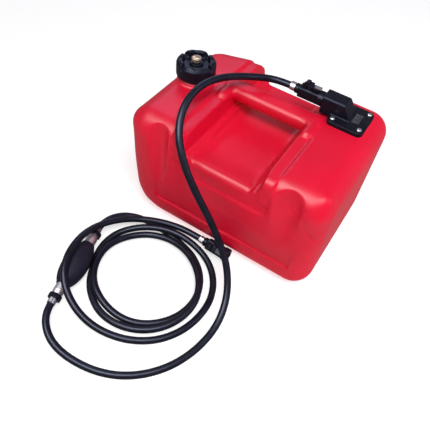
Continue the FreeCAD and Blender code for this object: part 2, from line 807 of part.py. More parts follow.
ferrule_end = "(coupler_length + ferrule_length)"
barb_foot = f"({ferrule_end} - barb_seat)"
hose_radius = "(hose_diameter/2)"
latch_pin_z = "(coupler_high/2 + lever_gap + lever_thick/2)"
plunger_front = "(spigot_reach - coupler_mouth_gap + seat_gap)"


def clamp(name, frame, start):
    """A crimped band round the hose, with its folded ear."""
    inner = f"({hose_radius} + running_fit)"
    band = cylinder(f"{name}_band", f"{inner} + clamp_thick", "clamp_width", (start, "0", "0"), "x")
    ear = box(f"{name}_ear", ("clamp_width", "clamp_ear_width", f"{inner} + clamp_ear"),
              (f"{start} + clamp_width/2", "0", "0"))
    hole = cylinder(f"{name}_hole", inner, "clamp_width", (start, "0", "0"), "x")
    return node(seated(cut(f"{name}_form", fuse(f"{name}_solid", band, ear), hole), frame), name)


def coupler(prefix, frame, plunger_at):
    """A push-on coupler with its latch lever, seal, valve plunger and hose barb.
    Its frame's X axis runs from the mouth to the hose, and Z points to the lever."""
    made = []

    def own(thing, name, turn=None):
        made.append(node(seated(thing, frame, turn), f"{prefix}{name}"))

    block = padded(f"{prefix}block", "YZ_Plane", [
        ("-coupler_width/2", "-coupler_high/2"), ("coupler_width/2", "-coupler_high/2"),
        ("coupler_width/2", "coupler_high/2"), ("-coupler_width/2", "coupler_high/2")],
        "coupler_length - collar_length")
    rounded(block, "coupler_round", lambda edge: runs_along(edge, "x"))
    put(block, ("(coupler_length + collar_length)/2", "0", "0"))
    ears = [box(f"{prefix}lug_{number}", ("lever_lug", "lever_lug_thick", f"{latch_pin_z} + lever_lug/2"),
                ("lever_pivot", f"{side}*(lever_width/2 + seat_gap + lever_lug_thick/2)", "0"))
            for number, side in enumerate((-1, 1), start=1)]
    form = fuse(f"{prefix}form", block, *ears,
                cylinder(f"{prefix}collar", "coupler_collar", "collar_length", ("0", "0", "0"), "x"),
                cylinder(f"{prefix}ferrule", "ferrule_radius", "ferrule_length",
                         ("coupler_length", "0", "0"), "x"))
    own(cut(f"{prefix}cut", form,
            cylinder(f"{prefix}socket", "spigot_radius + running_fit", "socket_depth", ("0", "0", "0"), "x"),
            cylinder(f"{prefix}guide", "plunger_radius + running_fit", ferrule_end, ("0", "0", "0"), "x"),
            cylinder(f"{prefix}barb_bore", "barb_radius + running_fit", "barb_seat",
                     (barb_foot, "0", "0"), "x"),
            cylinder(f"{prefix}groove", "spigot_radius + oring_thick + running_fit",
                     "oring_thick + 2*running_fit",
                     ("oring_at - oring_thick/2 - running_fit", "0", "0"), "x"),
            cylinder(f"{prefix}pin_bore", "lever_pin + running_fit", "coupler_width",
                     ("lever_pivot", "-coupler_width/2", latch_pin_z), "y"),
            box(f"{prefix}nose_slot",
                ("nose_thick + nose_swing + 4*seat_gap", "lever_width + 2*seat_gap", "coupler_high"),
                ("nose_at - nose_swing/2", "0", "spigot_radius - seat_gap"))), "coupler_body")
    own(single(f"{prefix}seal", torus(f"{prefix}seal_ring", "spigot_radius + running_fit + oring_thick/2",
                                     "oring_thick/2", ("oring_at", "0", "0"), "x")), "coupler_oring")
    half_pin = "(lever_width/2 + seat_gap + lever_lug_thick)"
    own(single(f"{prefix}pin", cylinder(f"{prefix}pin_rod", "lever_pin", f"2*{half_pin}",
                                       ("lever_pivot", f"-{half_pin}", latch_pin_z), "y")), "lever_pin")
    own(single(f"{prefix}valve", cylinder(f"{prefix}valve_rod", "plunger_radius", "plunger_length",
                                         (plunger_at, "0", "0"), "x")), "plunger")
    own(ring(f"{prefix}stem", "barb_radius", "barb_bore", "barb_seat + barb_length",
             (barb_foot, "0", "0"), "x"), "hose_barb")

    bar_low = "(coupler_high/2 + lever_low)"
    bar_foot = "(coupler_high/2 + lever_gap)"
    bar_top = f"({bar_foot} + lever_thick)"
    bar = padded(f"{prefix}bar", "XZ_Plane", [
        ("nose_at - nose_thick/2", "spigot_radius + seat_gap"),
        ("nose_at + nose_thick/2", "spigot_radius + seat_gap"),
        ("nose_at + nose_thick/2", bar_low), ("lever_pivot", bar_low), ("lever_back", bar_foot),
        ("lever_back", f"{bar_foot} + lever_thick/2"), ("tab_tip + tab_crest/2", "tab_height"),
        ("tab_tip - tab_crest/2", "tab_height"), ("tab_root", bar_top),
        ("nose_at - nose_thick/2", bar_top)], "lever_width")
    high = value_of(bar_top) + 1
    rounded(bar, "tab_round", lambda edge: runs_along(edge, "y") and edge.BoundBox.ZMin > high)
    own(cut(f"{prefix}lever_form", bar,
            cylinder(f"{prefix}lever_bore", "lever_pin + running_fit", "lever_width",
                     ("lever_pivot", "-lever_width/2", latch_pin_z), "y")), "coupler_lever")
    own(single(f"{prefix}plate", box(f"{prefix}plate_strip", ("plate_length", "plate_width", "plate_thick"),
                                    ("nose_at + plate_shift", "0", bar_top))), "latch_plate")


tank_frame = ((f"{hood_face} - coupler_mouth_gap", "pickup_y", outlet_z), "180", 0)
engine_frame = (("engine_x", "engine_y", "engine_height"), "engine_turn", value_of("engine_roll"))
coupler("tank_", tank_frame, plunger_front)
coupler("engine_", engine_frame, f"{plunger_front} - plunger_travel")


# ---------------------------------------------------------------- primer bulb and its check valves

bulb_frame = (("bulb_x", "bulb_y", "bulb_height"), "bulb_turn", 0)
outlet_frame = (along_frame(bulb_frame, "bulb_length/2"), "bulb_turn", 0)
inlet_frame = (along_frame(bulb_frame, "-bulb_length/2"), "bulb_turn + 180", 0)
bulb_bore = "(plug_radius + running_fit)"


# Angles along the bulb's outline, from one neck to the other.
OUTER_STEPS = range(34, 147, 8)
INNER_STEPS = range(30, 151, 12)


def half_round(reach, radius, steps):
    """Corners of a long round form's outline, as radius and height pairs from its foot to its top."""
    return [(f"{radius}*sin({step})", f"-{reach}*cos({step})") for step in steps]


inner_reach, inner_radius = "(bulb_reach - bulb_wall)", "(bulb_radius - bulb_wall)"
bulb = revolved("bulb", [
    (bulb_bore, "-bulb_length/2"), ("bulb_neck", "-bulb_length/2"),
    *half_round("bulb_reach", "bulb_radius", OUTER_STEPS),
    ("bulb_neck", "bulb_length/2"), (bulb_bore, "bulb_length/2"),
    *reversed(half_round(inner_reach, inner_radius, INNER_STEPS))])
node(seated(bulb, bulb_frame, TURNS["x"]), "primer_bulb")

ball_seat = "(sqrt(ball_radius^2 - valve_bore^2) + seat_gap)"
chamber_end = f"(chamber_start + 2*{ball_seat} + ball_travel)"
nut_end = "(valve_length + nut_length)"


def check_valve(name, frame, ball_at):
    """A one-way valve: a plug in the bulb's neck, a chamber with its ball, and a barb for the hose."""
    body = revolved(f"{name}_body", [
        ("valve_bore", "-plug_length"), ("plug_radius", "-plug_length"), ("plug_radius", "0"),
        ("valve_radius", "0"), ("valve_radius", "0.6*valve_length"), ("valve_tip", "valve_length"),
        ("barb_radius", "valve_length"), ("barb_radius", f"{nut_end} + barb_length"),
        ("valve_bore", f"{nut_end} + barb_length"), ("valve_bore", chamber_end),
        ("ball_radius + seat_gap", chamber_end), ("ball_radius + seat_gap", "chamber_start"),
        ("valve_bore", "chamber_start")])
    node(seated(body, frame, TURNS["x"]), f"{name}_valve")
    node(seated(ring(f"{name}_collar", "nut_radius", "barb_radius + running_fit", "nut_length",
                     ("valve_length", "0", "0"), "x"), frame), f"{name}_valve_nut")
    node(seated(single(f"{name}_stop", ball(f"{name}_sphere", "ball_radius", (ball_at, "0", "0"))), frame),
         f"{name}_valve_ball")


check_valve("inlet", inlet_frame, f"{chamber_end} - {ball_seat}")
check_valve("outlet", outlet_frame, f"chamber_start + {ball_seat}")


# ---------------------------------------------------------------- hoses and their clamps

def point(place):
    return FreeCAD.Vector(*[value_of(formula) for formula in place])


# The share of a straight run that each of its two bends may take.
ROUTE_SHARE = 0.45


def route_wire(points):
    """Straight runs joined by tangent arcs, each as large as its two runs allow."""
    edges = []
    radii = []
    start = points[0]
    for before, corner, after in zip(points, points[1:], points[2:]):
        inward = (corner - before).normalize()
        onward = (after - corner).normalize()
        half_turn = inward.getAngle(onward) / 2
        reach = ROUTE_SHARE * min((corner - before).Length, (after - corner).Length)
        radius = reach / math.tan(half_turn)
        arc_start = corner - inward * reach
        arc_end = corner + onward * reach
        to_middle = (onward - inward).normalize()
        arc_middle = corner + to_middle * (radius / math.cos(half_turn) - radius)
        edges.append(Part.LineSegment(start, arc_start).toShape())
        edges.append(Part.Arc(arc_start, arc_middle, arc_end).toShape())
        radii.append(radius)
        start = arc_end
    edges.append(Part.LineSegment(start, points[-1]).toShape())
    return Part.Wire(edges), radii


def hose(name, from_frame, from_at, lead, places, end_lead, to_frame, to_at):
    """A plain round hose along its route, bored at both ends for the barbs that it is pushed on."""
    start = point(along_frame(from_frame, from_at))
    start_next = point(along_frame(from_frame, f"{from_at} + {lead}"))
    end = point(along_frame(to_frame, to_at))
    end_next = point(along_frame(to_frame, f"{to_at} + {end_lead}"))
    points = [start, start_next, *[FreeCAD.Vector(*place) for place in places], end_next, end]
    wire, radii = route_wire(points)
    radius = value_of(hose_radius)
    section = Part.Wire(Part.Circle(start, start_next - start, radius).toShape())
    tube = wire.makePipeShell([section], True, False)
    expected = math.pi * radius ** 2 * wire.Length
    print(f"{name}: {wire.Length:.0f} mm long, radii {min(radii):.0f} to {max(radii):.0f} mm,"
          f" volume {tube.Volume / expected:.4f} of its section times its length")
    bore = value_of("barb_radius + running_fit")
    depth = value_of("barb_length + seat_gap")
    tube = tube.cut(Part.makeCylinder(bore, depth, start, start_next - start))
    tube = tube.cut(Part.makeCylinder(bore, depth, end, end_next - end))
    thing = doc.addObject("Part::Feature", name)
    thing.Shape = tube
    thing.Placement = FreeCAD.Placement()
    return node(thing, name)


# From the coupler over the handle, past the cap, down the front and round to the bulb's inlet.
TANK_HOSE = [
    (-33, 60, 273), (-55, 36, 279), (-72, 5, 289), (-86, -31, 299), (-97, -71, 301), (-98, -115, 289),
    (-83, -153, 262), (-54, -175, 225), (-23, -183, 184), (9, -186, 143), (41, -193, 102), (71, -208, 67),
    (96, -241, 34), (108, -288, 14), (103, -340, 7), (86, -389, 6.5), (58, -428, 6.5), (23, -456, 6.5),
    (-15, -472, 6.5), (-53, -479, 7.5), (-86, -480, 12), (-113, -474, 18), (-136, -458.5, 23)]

# Three loose laps on the floor, then over the bulb and along the tank's foot to the engine's coupler.
ENGINE_HOSE = [
    (-193.7, -222, 23), (-182, -200, 19), (-163.5, -184, 13.5), (-138, -174.5, 8.5), (-105, -173, 6.5),
    (-72, -176, 6.5), (-40, -182, 6.5), (-7, -193, 6.5), (26, -220, 6.5), (45, -258, 6.5), (44, -301, 6.5),
    (24, -339, 6.5), (-9, -366, 6.5), (-50, -376, 8), (-92, -370, 16), (-128, -349, 20), (-151, -314, 20),
    (-159, -272, 16), (-146, -232, 10), (-116, -201, 9), (-75, -188, 13), (-33, -192, 17), (5, -210, 20.5),
    (36, -240, 21), (53, -279, 20), (49, -321, 18), (27, -358, 16), (-8, -382, 13), (-50, -391, 10),
    (-92, -384, 7), (-132, -357, 6.5), (-154, -321, 6.5), (-171, -282, 9), (-167, -239, 12),
    (-141, -205, 16), (-105, -183, 20), (-64, -172, 21), (-22, -172, 16), (18, -184, 11), (50, -211, 7),
    (69, -250, 6.5), (71, -292, 6.5), (61, -333, 6.5), (38, -369, 6.5), (4, -395, 6.5), (-36, -410, 7),
    (-77, -416, 14), (-116, -411, 29), (-151, -393, 46), (-176, -361, 57), (-189, -321, 56),
    (-193, -280, 48), (-183, -240, 38), (-162, -205, 28), (-132, -180, 22), (-100, -164, 19),
    (-69, -155, 17)]

hose("hose_to_bulb", tank_frame, ferrule_end, "coupler_lead", TANK_HOSE, "inlet_lead", inlet_frame, nut_end)
hose("hose_to_engine", outlet_frame, nut_end, "outlet_lead", ENGINE_HOSE, "coupler_lead", engine_frame,
     ferrule_end)
clamp("clamp_tank_end", tank_frame, f"{ferrule_end} + clamp_gap")
clamp("clamp_bulb_inlet", inlet_frame, f"{nut_end} + clamp_gap")
clamp("clamp_bulb_outlet", outlet_frame, f"{nut_end} + clamp_gap")
clamp("clamp_engine_end", engine_frame, f"{ferrule_end} + clamp_gap")


# ---------------------------------------------------------------- check and write

doc.recompute()
failed = [thing.Name for thing in doc.Objects if {"Invalid", "Error"} & set(thing.State)]
if failed:
    raise RuntimeError(f"these objects did not build: {failed}")

os.makedirs("parts", exist_ok=True)
for thing in NODES:
    shape = thing.Shape
    if shape.isNull() or not shape.isValid():
        raise RuntimeError(f"{thing.Label} has no valid shape")
    shape.exportStep(f"parts/{thing.Label}.step")
    print(f"{thing.Label:24s} solids {len(shape.Solids):2d}  volume {shape.Volume / 1000:9.2f} cm3")
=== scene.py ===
import json
import math

import bmesh
import bpy
from mathutils import Matrix, Vector
from mathutils.geometry import intersect_point_line


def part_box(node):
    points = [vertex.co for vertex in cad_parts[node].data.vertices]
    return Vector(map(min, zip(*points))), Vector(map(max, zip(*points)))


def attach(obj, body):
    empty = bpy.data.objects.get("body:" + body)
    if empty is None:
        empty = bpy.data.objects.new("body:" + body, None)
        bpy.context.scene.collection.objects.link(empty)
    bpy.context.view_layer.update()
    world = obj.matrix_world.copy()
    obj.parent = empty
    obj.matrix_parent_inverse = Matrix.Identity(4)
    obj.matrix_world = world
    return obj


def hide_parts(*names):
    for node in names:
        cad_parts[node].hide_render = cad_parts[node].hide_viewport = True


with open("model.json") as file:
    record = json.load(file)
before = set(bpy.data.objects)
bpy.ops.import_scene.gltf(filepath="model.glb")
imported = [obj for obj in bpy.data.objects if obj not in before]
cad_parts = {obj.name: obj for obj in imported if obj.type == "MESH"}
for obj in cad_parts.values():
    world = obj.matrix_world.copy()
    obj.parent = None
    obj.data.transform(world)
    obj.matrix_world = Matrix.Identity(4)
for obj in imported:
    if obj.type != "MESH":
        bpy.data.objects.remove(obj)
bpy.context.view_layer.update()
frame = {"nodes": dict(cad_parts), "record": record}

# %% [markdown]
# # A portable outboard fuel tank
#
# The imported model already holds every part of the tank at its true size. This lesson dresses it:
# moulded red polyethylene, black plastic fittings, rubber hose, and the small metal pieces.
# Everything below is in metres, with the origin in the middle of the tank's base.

nodes = frame["nodes"]
scene = bpy.context.scene
scene.view_settings.view_transform = "Standard"
MM = 0.001

# %% [markdown]
# ## Camera
#
# The camera stands in front of the tank, a little to its right, and looks down at about fifty
# degrees with the whole picture rolled by seven. A camera's own rotation is read as a turn about Z,
# then a tilt, then the roll, so three angles and one place are enough.

# %% Camera
CAMERA_PLACE = Vector((0.25826, -0.65046, 0.80077))
AZIMUTH, ELEVATION, ROLL = 26.981, 51.016, 7.308
LENS, SENSOR = 40.54, 36
camera = bpy.data.objects.new("camera", bpy.data.cameras.new("camera"))
camera.data.lens = LENS
camera.data.sensor_width = SENSOR
camera.matrix_world = (Matrix.Translation(CAMERA_PLACE)
                       @ Matrix.Rotation(math.radians(AZIMUTH), 4, "Z")
                       @ Matrix.Rotation(math.radians(90 - ELEVATION), 4, "X")
                       @ Matrix.Rotation(math.radians(ROLL), 4, "Z"))
scene.collection.objects.link(camera)
scene.camera = camera
print("camera at", tuple(CAMERA_PLACE))

# %% [markdown]
# ## Hoses
#
# Fuel hose is a stiff rubber tube of 13 mm. One length runs from the pickup's coupler over the tank
# and down to the primer bulb. The other leaves the bulb, lies in loose laps on the floor, and ends
# in the engine's coupler. A NURBS curve of order three bends as such hose does, without kinks, and
# its bevel gives the tube.

# %% Hoses
HOSE_DIAMETER = 0.013
RING_STEPS, CURVE_ORDER, CURVE_STEPS = 6, 3, 8


def hose_curve(name, points_mm):
    """A round hose along a NURBS curve whose control points are given in millimetres."""
    data = bpy.data.curves.new(name, "CURVE")
    data.dimensions = "3D"
    data.bevel_depth = HOSE_DIAMETER / 2
    data.bevel_resolution = RING_STEPS
    data.use_fill_caps = True
    spline = data.splines.new("NURBS")
    spline.points.add(len(points_mm) - 1)
    for control, point in zip(spline.points, points_mm):
        control.co = (*[value * MM for value in point], 1)
    spline.order_u = CURVE_ORDER
    spline.use_endpoint_u = True
    spline.resolution_u = CURVE_STEPS
    hose = bpy.data.objects.new(name, data)
    scene.collection.objects.link(hose)
    print(name, "control points:", len(points_mm))
    return hose


tank_hose = hose_curve("tank_hose", [
    (22.4, 71, 271.1), (-5.6, 71, 271.1),
    (-33, 60, 273), (-55, 36, 279), (-72, 5, 289), (-86, -31, 299), (-97, -71, 301), (-98, -115, 289),
    (-83, -153, 262), (-54, -175, 225), (-23, -183, 184), (9, -186, 143), (41, -193, 102), (71, -208, 67),
    (96, -241, 34), (108, -288, 14), (103, -340, 7), (86, -389, 6.5), (58, -428, 6.5), (23, -456, 6.5),
    (-15, -472, 6.5), (-53, -479, 7.5), (-86, -480, 12), (-113, -474, 18), (-136, -458.5, 23),
    (-149.3, -438.41, 25), (-154.03, -418.98, 25)])

engine_hose = hose_curve("engine_hose", [
    (-190.97, -267.42, 25), (-196.18, -246.05, 25),
    (-193.7, -222, 23), (-182, -200, 19), (-163.5, -184, 13.5), (-138, -174.5, 8.5), (-105, -173, 6.5),
    (-72, -176, 6.5), (-40, -182, 6.5), (-7, -193, 6.5), (26, -220, 6.5), (45, -258, 6.5), (44, -301, 6.5),
    (24, -339, 6.5), (-9, -366, 6.5), (-50, -376, 8), (-92, -370, 16), (-128, -349, 20), (-151, -314, 20),
    (-159, -272, 16), (-146, -232, 10), (-116, -201, 9), (-75, -188, 13), (-33, -192, 17), (5, -210, 20.5),
    (36, -240, 21), (53, -279, 20), (49, -321, 18), (27, -358, 16), (-8, -382, 13), (-50, -391, 10),
    (-92, -384, 7), (-132, -357, 6.5), (-154, -321, 6.5), (-171, -282, 9), (-167, -239, 12),
    (-141, -205, 16), (-105, -183, 20), (-64, -172, 21), (-22, -172, 16), (18, -184, 11), (50, -211, 7),
    (69, -250, 6.5), (71, -292, 6.5), (61, -333, 6.5), (38, -369, 6.5), (4, -395, 6.5), (-36, -410, 7),
    (-77, -416, 14), (-116, -411, 29), (-151, -393, 46), (-176, -361, 57), (-189, -321, 56),
    (-193, -280, 48), (-183, -240, 38), (-162, -205, 28), (-132, -180, 22), (-100, -164, 19),
    (-69, -155, 17), (-38.95, -151.03, 14), (-10.97, -152.01, 14)])

# %% [markdown]
# ## Shader arithmetic
#
# A procedural material is arithmetic on coordinates and noise. Wiring Math nodes by hand hides that,
# so a small class wraps a socket and lets Python's own operators add the nodes. A Mix node has a set
# of sockets for every kind of data, and the numbers below are the sockets that carry colours.

# %% Shader arithmetic
MIX_SHARE, MIX_FIRST, MIX_SECOND, MIX_RESULT = 0, 6, 7, 2


class Value:
    """A shader socket that takes part in Python arithmetic."""

    def __init__(self, finish, socket):
        self.finish, self.socket = finish, socket

    def _math(self, operation, other):
        return self.finish.add("ShaderNodeMath", {"operation": operation}, {0: self, 1: other})

    def __add__(self, other):
        return self._math("ADD", other)

    def __mul__(self, other):
        return self._math("MULTIPLY", other)

    __radd__ = __add__
    __rmul__ = __mul__


class Finish:
    """A material on one Principled shader; fixed numbers go straight to its sockets."""

    def __init__(self, name, **fixed):
        self.material = bpy.data.materials.new(name)
        self.material.use_nodes = True
        self.tree = self.material.node_tree
        self.shader = self.tree.nodes["Principled BSDF"]
        for socket, value in fixed.items():
            self.shader.inputs[socket.replace("_", " ")].default_value = value
        self.places = self.add("ShaderNodeTexCoord", {}, {}, "Object")

    def feed(self, socket, value):
        if isinstance(value, Value):
            self.tree.links.new(value.socket, socket)
        else:
            socket.default_value = value

    def add(self, kind, settings, inputs, output=0):
        """Add a node: its settings first, then the values or links of its sockets."""
        node = self.tree.nodes.new(kind)
        for setting, value in settings.items():
            setattr(node, setting, value)
        for socket, value in inputs.items():
            self.feed(node.inputs[socket], value)
        return Value(self, node.outputs[output])

    def noise(self, scale, detail=2.0, roughness=0.5):
        return self.add("ShaderNodeTexNoise", {}, {
            "Vector": self.places, "Scale": scale, "Detail": detail, "Roughness": roughness})

    def mix(self, share, first, second):
        """Blend two colours by a share from 0 to 1."""
        node = self.tree.nodes.new("ShaderNodeMix")
        node.data_type = "RGBA"
        for index, value in ((MIX_SHARE, share), (MIX_FIRST, first), (MIX_SECOND, second)):
            self.feed(node.inputs[index], value)
        return Value(self, node.outputs[MIX_RESULT])

    def ramp(self, value, low, high):
        """Spread the values from low to high over 0 to 1 and clip the rest."""
        return self.add("ShaderNodeMapRange", {"clamp": True}, {
            "Value": value, "From Min": low, "From Max": high})

    def set(self, socket, value):
        self.feed(self.shader.inputs[socket], value)

    def patches(self, scale, detail, low, high, tones, rough, spread):
        """Give two tones and a wavering gloss in the same patches of one noise."""
        share = self.ramp(self.noise(scale, detail), low, high)
        self.set("Base Color", self.mix(share, *tones))
        self.set("Roughness", rough + spread * share)
        return share

    def bump(self, height, strength, distance):
        self.set("Normal", self.add("ShaderNodeBump", {}, {
            "Strength": strength, "Distance": distance, "Height": height}))


print("shader helpers ready")

# %% [markdown]
# ## Finishes
#
# Blow-moulded polyethylene is satin, with a faint orange peel and a cloudy gloss. Two noises give
# the colour its slow clouds and the gloss its handled, scuffed patches.

# %% Red polyethylene
RED = (0.80, 0.004, 0.034, 1)
DEEP_RED = (0.70, 0.003, 0.027, 1)
red_poly = Finish("red_polyethylene", IOR=1.5, Specular_IOR_Level=0.22)
clouds = red_poly.ramp(red_poly.noise(9, 3), 0.35, 0.65)
red_poly.set("Base Color", red_poly.mix(clouds, RED, DEEP_RED))
scuffs = red_poly.ramp(red_poly.noise(30, 4), 0.3, 0.7)
red_poly.set("Roughness", 0.35 + 0.09 * scuffs)
red_poly.bump(red_poly.noise(420, 2), 0.10, 0.0004)
print("red polyethylene")

# %% [markdown]
# The fittings are injection-moulded black nylon with a fine spark-eroded grain. The hose and the
# bulb are rubber: the hose is extruded and shines a little, the bulb is moulded and nearly matt.

# %% Black plastic and rubber
BLACK = (0.0060, 0.0060, 0.0120, 1)
WORN_BLACK = (0.010, 0.010, 0.018, 1)
BULB_BLACK = (0.011, 0.0095, 0.018, 1)
WORN_BULB = (0.016, 0.014, 0.025, 1)
COOL_SHEEN = (0.70, 0.76, 1.0, 1)


def black_finish(name, rough, grain_scale, grain_depth, tone=BLACK, worn=WORN_BLACK, gloss=0.13):
    """Black with handled patches, slightly paler and duller, and a fine grain."""
    finish = Finish(name, Specular_IOR_Level=gloss, Specular_Tint=COOL_SHEEN)
    finish.patches(60, 4, 0.35, 0.7, (tone, worn), rough, 0.08)
    finish.bump(finish.noise(grain_scale, 2), 0.25, grain_depth)
    return finish


black_nylon = black_finish("black_nylon", 0.34, 1500, 0.0002)
hose_rubber = black_finish("hose_rubber", 0.30, 500, 0.0002, gloss=0.22)
bulb_rubber = black_finish("bulb_rubber", 0.50, 900, 0.0003, BULB_BLACK, WORN_BULB)
seal_rubber = black_finish("seal_rubber", 0.60, 700, 0.0002)
print("black finishes")

# %% [markdown]
# The metal pieces are small, so their look comes from what they mirror. Turning marks are a fine
# bump, and a coarser noise dulls them in patches, as a patina does between the handled spots. The
# lever pins and one latch plate are blackened steel.

# %% Metals
def metal_finish(name, tone, dull, rough):
    """Metal with duller patches and fine turning marks."""
    finish = Finish(name, Metallic=1.0)
    finish.patches(300, 5, 0.35, 0.7, (tone, dull), rough, 0.15)
    finish.bump(finish.noise(2500, 2), 0.15, 0.0001)
    return finish


brass = metal_finish("brass", (0.40, 0.31, 0.25, 1), (0.30, 0.22, 0.17, 1), 0.50)
steel = metal_finish("plated_steel", (0.48, 0.46, 0.50, 1), (0.30, 0.29, 0.32, 1), 0.32)
cast_alloy = metal_finish("cast_alloy", (0.56, 0.52, 0.57, 1), (0.36, 0.33, 0.37, 1), 0.38)
blackened = metal_finish("blackened_steel", (0.05, 0.05, 0.06, 1), (0.03, 0.03, 0.04, 1), 0.40)
print("metals")

# %% [markdown]
# The gauge's lens is smoked clear plastic over a dark dial. The pieces inside the tank are natural
# polyethylene, cloudy white, and the float is closed-cell foam.

# %% Gauge lens, inner plastic and foam
LENS_TONES = (0.030, 0.030, 0.036, 1), (0.055, 0.055, 0.065, 1)
NATURAL_TONES = (0.78, 0.77, 0.72, 1), (0.70, 0.69, 0.63, 1)
INK_TONES = (0.12, 0.12, 0.14, 1), (0.20, 0.20, 0.22, 1)
FOAM_TONES = (0.16, 0.11, 0.07, 1), (0.24, 0.17, 0.11, 1)

lens = Finish("gauge_lens", Specular_IOR_Level=0.4)
lens.patches(220, 2, 0.45, 0.6, LENS_TONES, 0.10, 0.05)
natural_poly = Finish("natural_polyethylene")
natural_poly.patches(40, 3, 0.3, 0.7, NATURAL_TONES, 0.40, 0.1)
print_ink = Finish("printed_marks", Specular_IOR_Level=0.3)
print_ink.patches(900, 3, 0.35, 0.65, INK_TONES, 0.45, 0.1)
float_foam = Finish("float_foam")
cells = float_foam.patches(1200, 2, 0.4, 0.6, FOAM_TONES, 0.70, 0.1)
float_foam.bump(cells, 0.3, 0.0002)
print("lens, inner plastic, foam")

# %% [markdown]
# ## Dressing the nodes
#
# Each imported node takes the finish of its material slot, and three steel ones are blackened. A node
# whose shape is already right needs nothing more.

# %% Finishes by slot
FINISH_OF_SLOT = {
    "tank_plastic": red_poly, "black_plastic": black_nylon, "seal_rubber": seal_rubber,
    "hose_rubber": hose_rubber, "bulb_rubber": bulb_rubber, "brass": brass, "steel": steel,
    "valve_metal": cast_alloy, "gauge_face": lens, "inner_plastic": natural_poly, "float_cork": float_foam}
SLOT_OF_NODE = {part["node"]: part["material_slot"] for part in frame["record"]["subparts"]}
BODY_OF_NODE = {node: body for body, members in frame["record"]["behaviour"]["bodies"].items()
                for node in members}
BLACKENED_NODES = "engine_latch_plate", "tank_lever_pin", "engine_lever_pin"
SHARP_ANGLE = 40


def dress(piece, slot):
    """Give a piece one finish, in every material slot that it has."""
    piece.data.materials.clear()
    piece.data.materials.append(FINISH_OF_SLOT[slot].material)


def smooth_shaded(piece):
    """Smooth shading that keeps the sharp edges."""
    with bpy.context.temp_override(object=piece, active_object=piece, selected_objects=[piece],
                                   selected_editable_objects=[piece]):
        bpy.ops.object.shade_smooth_by_angle(angle=math.radians(SHARP_ANGLE))


for name, piece in nodes.items():
    dress(piece, SLOT_OF_NODE[name])
for name in BLACKENED_NODES:
    nodes[name].data.materials[0] = blackened.material
print("dressed", len(nodes), "nodes")

# %% [markdown]
# ## Softened mouldings
#
# Moulded plastic has no sharp corners. A voxel remesh turns a node's mesh into even small squares,
# and smoothing those rounds every edge by a few voxels, as the mould does. Outer edges are drawn
# in by it and inner creases fill up.

# %% Softening
JOIN_WITHIN = 1e-5
SMOOTH_STEP = 0.5


def settle(piece, name, kind, **settings):
    """Add a modifier and apply it at once."""
    modifier = piece.modifiers.new(name, kind)
    for setting, value in settings.items():
        setattr(modifier, setting, value)
    view = bpy.context.evaluated_depsgraph_get()
    mesh = bpy.data.meshes.new_from_object(piece.evaluated_get(view), depsgraph=view)
    piece.modifiers.clear()
    old, piece.data = piece.data, mesh
    bpy.data.meshes.remove(old)


def merged_copy(node, name):
    """A copy of a node's mesh with its loose triangles joined at their corners."""
    piece = bpy.data.objects.new(name, nodes[node].data.copy())
    scene.collection.objects.link(piece)
    shape = bmesh.new()
    shape.from_mesh(piece.data)
    bmesh.ops.remove_doubles(shape, verts=shape.verts, dist=JOIN_WITHIN)
    shape.to_mesh(piece.data)
    shape.free()
    return piece


def stand_for(piece, node):
    """Let a piece take a node's place: its body, slot and finish."""
    dress(piece, SLOT_OF_NODE[node])
    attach(piece, BODY_OF_NODE[node])
    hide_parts(node)


def softened(node, name, voxel, passes, keep=1.0, reshape=None):
    """A node's shape with its edges rounded as a mould leaves them, thinned to a share of its faces."""
    piece = merged_copy(node, name)
    if reshape:
        reshape(piece)
    settle(piece, "even squares", "REMESH", mode="VOXEL", voxel_size=voxel)
    settle(piece, "rounding", "SMOOTH", factor=SMOOTH_STEP, iterations=passes)
    if keep < 1:
        settle(piece, "thinning", "DECIMATE", ratio=keep)
    piece.data.polygons.foreach_set("use_smooth", [True] * len(piece.data.polygons))
    stand_for(piece, node)
    print(name, "faces:", len(piece.data.polygons))
    return piece


print("softening ready")

# %% [markdown]
# A lever is pressed on a thick thumb tab. The lever's joint gives the place of its pin and the
# direction across it, so both levers take the same tab in their own frames: the thin drawn one is cut
# off along the top of the bar, and a block with a sloping back joins the bar before the softening
# melts them together. The block is shallow enough to leave the lever room to be pressed.

# %% Levers and mouldings
JOINTS = {joint["name"]: joint for joint in frame["record"]["behaviour"]["joints"]}
BAR_TOP = 2.05
TAB_PLACE, TAB_SIZE, TAB_SLOPE = (8.2, 0, 3.8), (11.2, 10.6, 8.2), 4.0


def thumb_tab(press_joint, pull_joint):
    """A function that gives a lever its thumb tab, in the frame of the lever's pin."""
    press = JOINTS[press_joint]
    along, across = Vector(JOINTS[pull_joint]["axis"]), Vector(press["axis"])
    pin = Matrix((along, across, along.cross(across))).transposed().to_4x4()
    pin.translation = press["pos_m"]
    up = pin.col[2].to_3d()

    def reshape(piece):
        shape = bmesh.new()
        shape.from_mesh(piece.data)
        bmesh.ops.bisect_plane(shape, geom=[*shape.verts, *shape.edges, *shape.faces], clear_outer=True,
                               plane_co=pin.translation + up * BAR_TOP * MM, plane_no=up)
        bmesh.ops.holes_fill(shape, edges=[edge for edge in shape.edges if edge.is_boundary])
        middle = pin @ Matrix.Translation([value * MM for value in TAB_PLACE])
        tab = bmesh.ops.create_cube(shape, size=MM, matrix=middle @ Matrix.Diagonal((*TAB_SIZE, 1)))
        back_top = [corner for corner in tab["verts"] if all(
            (corner.co - middle.translation).dot(way) > 0 for way in (along, up))]
        bmesh.ops.translate(shape, vec=-along * TAB_SLOPE * MM, verts=back_top)
        shape.to_mesh(piece.data)
        shape.free()
        print("tab corners:", len(tab["verts"]))
    return reshape


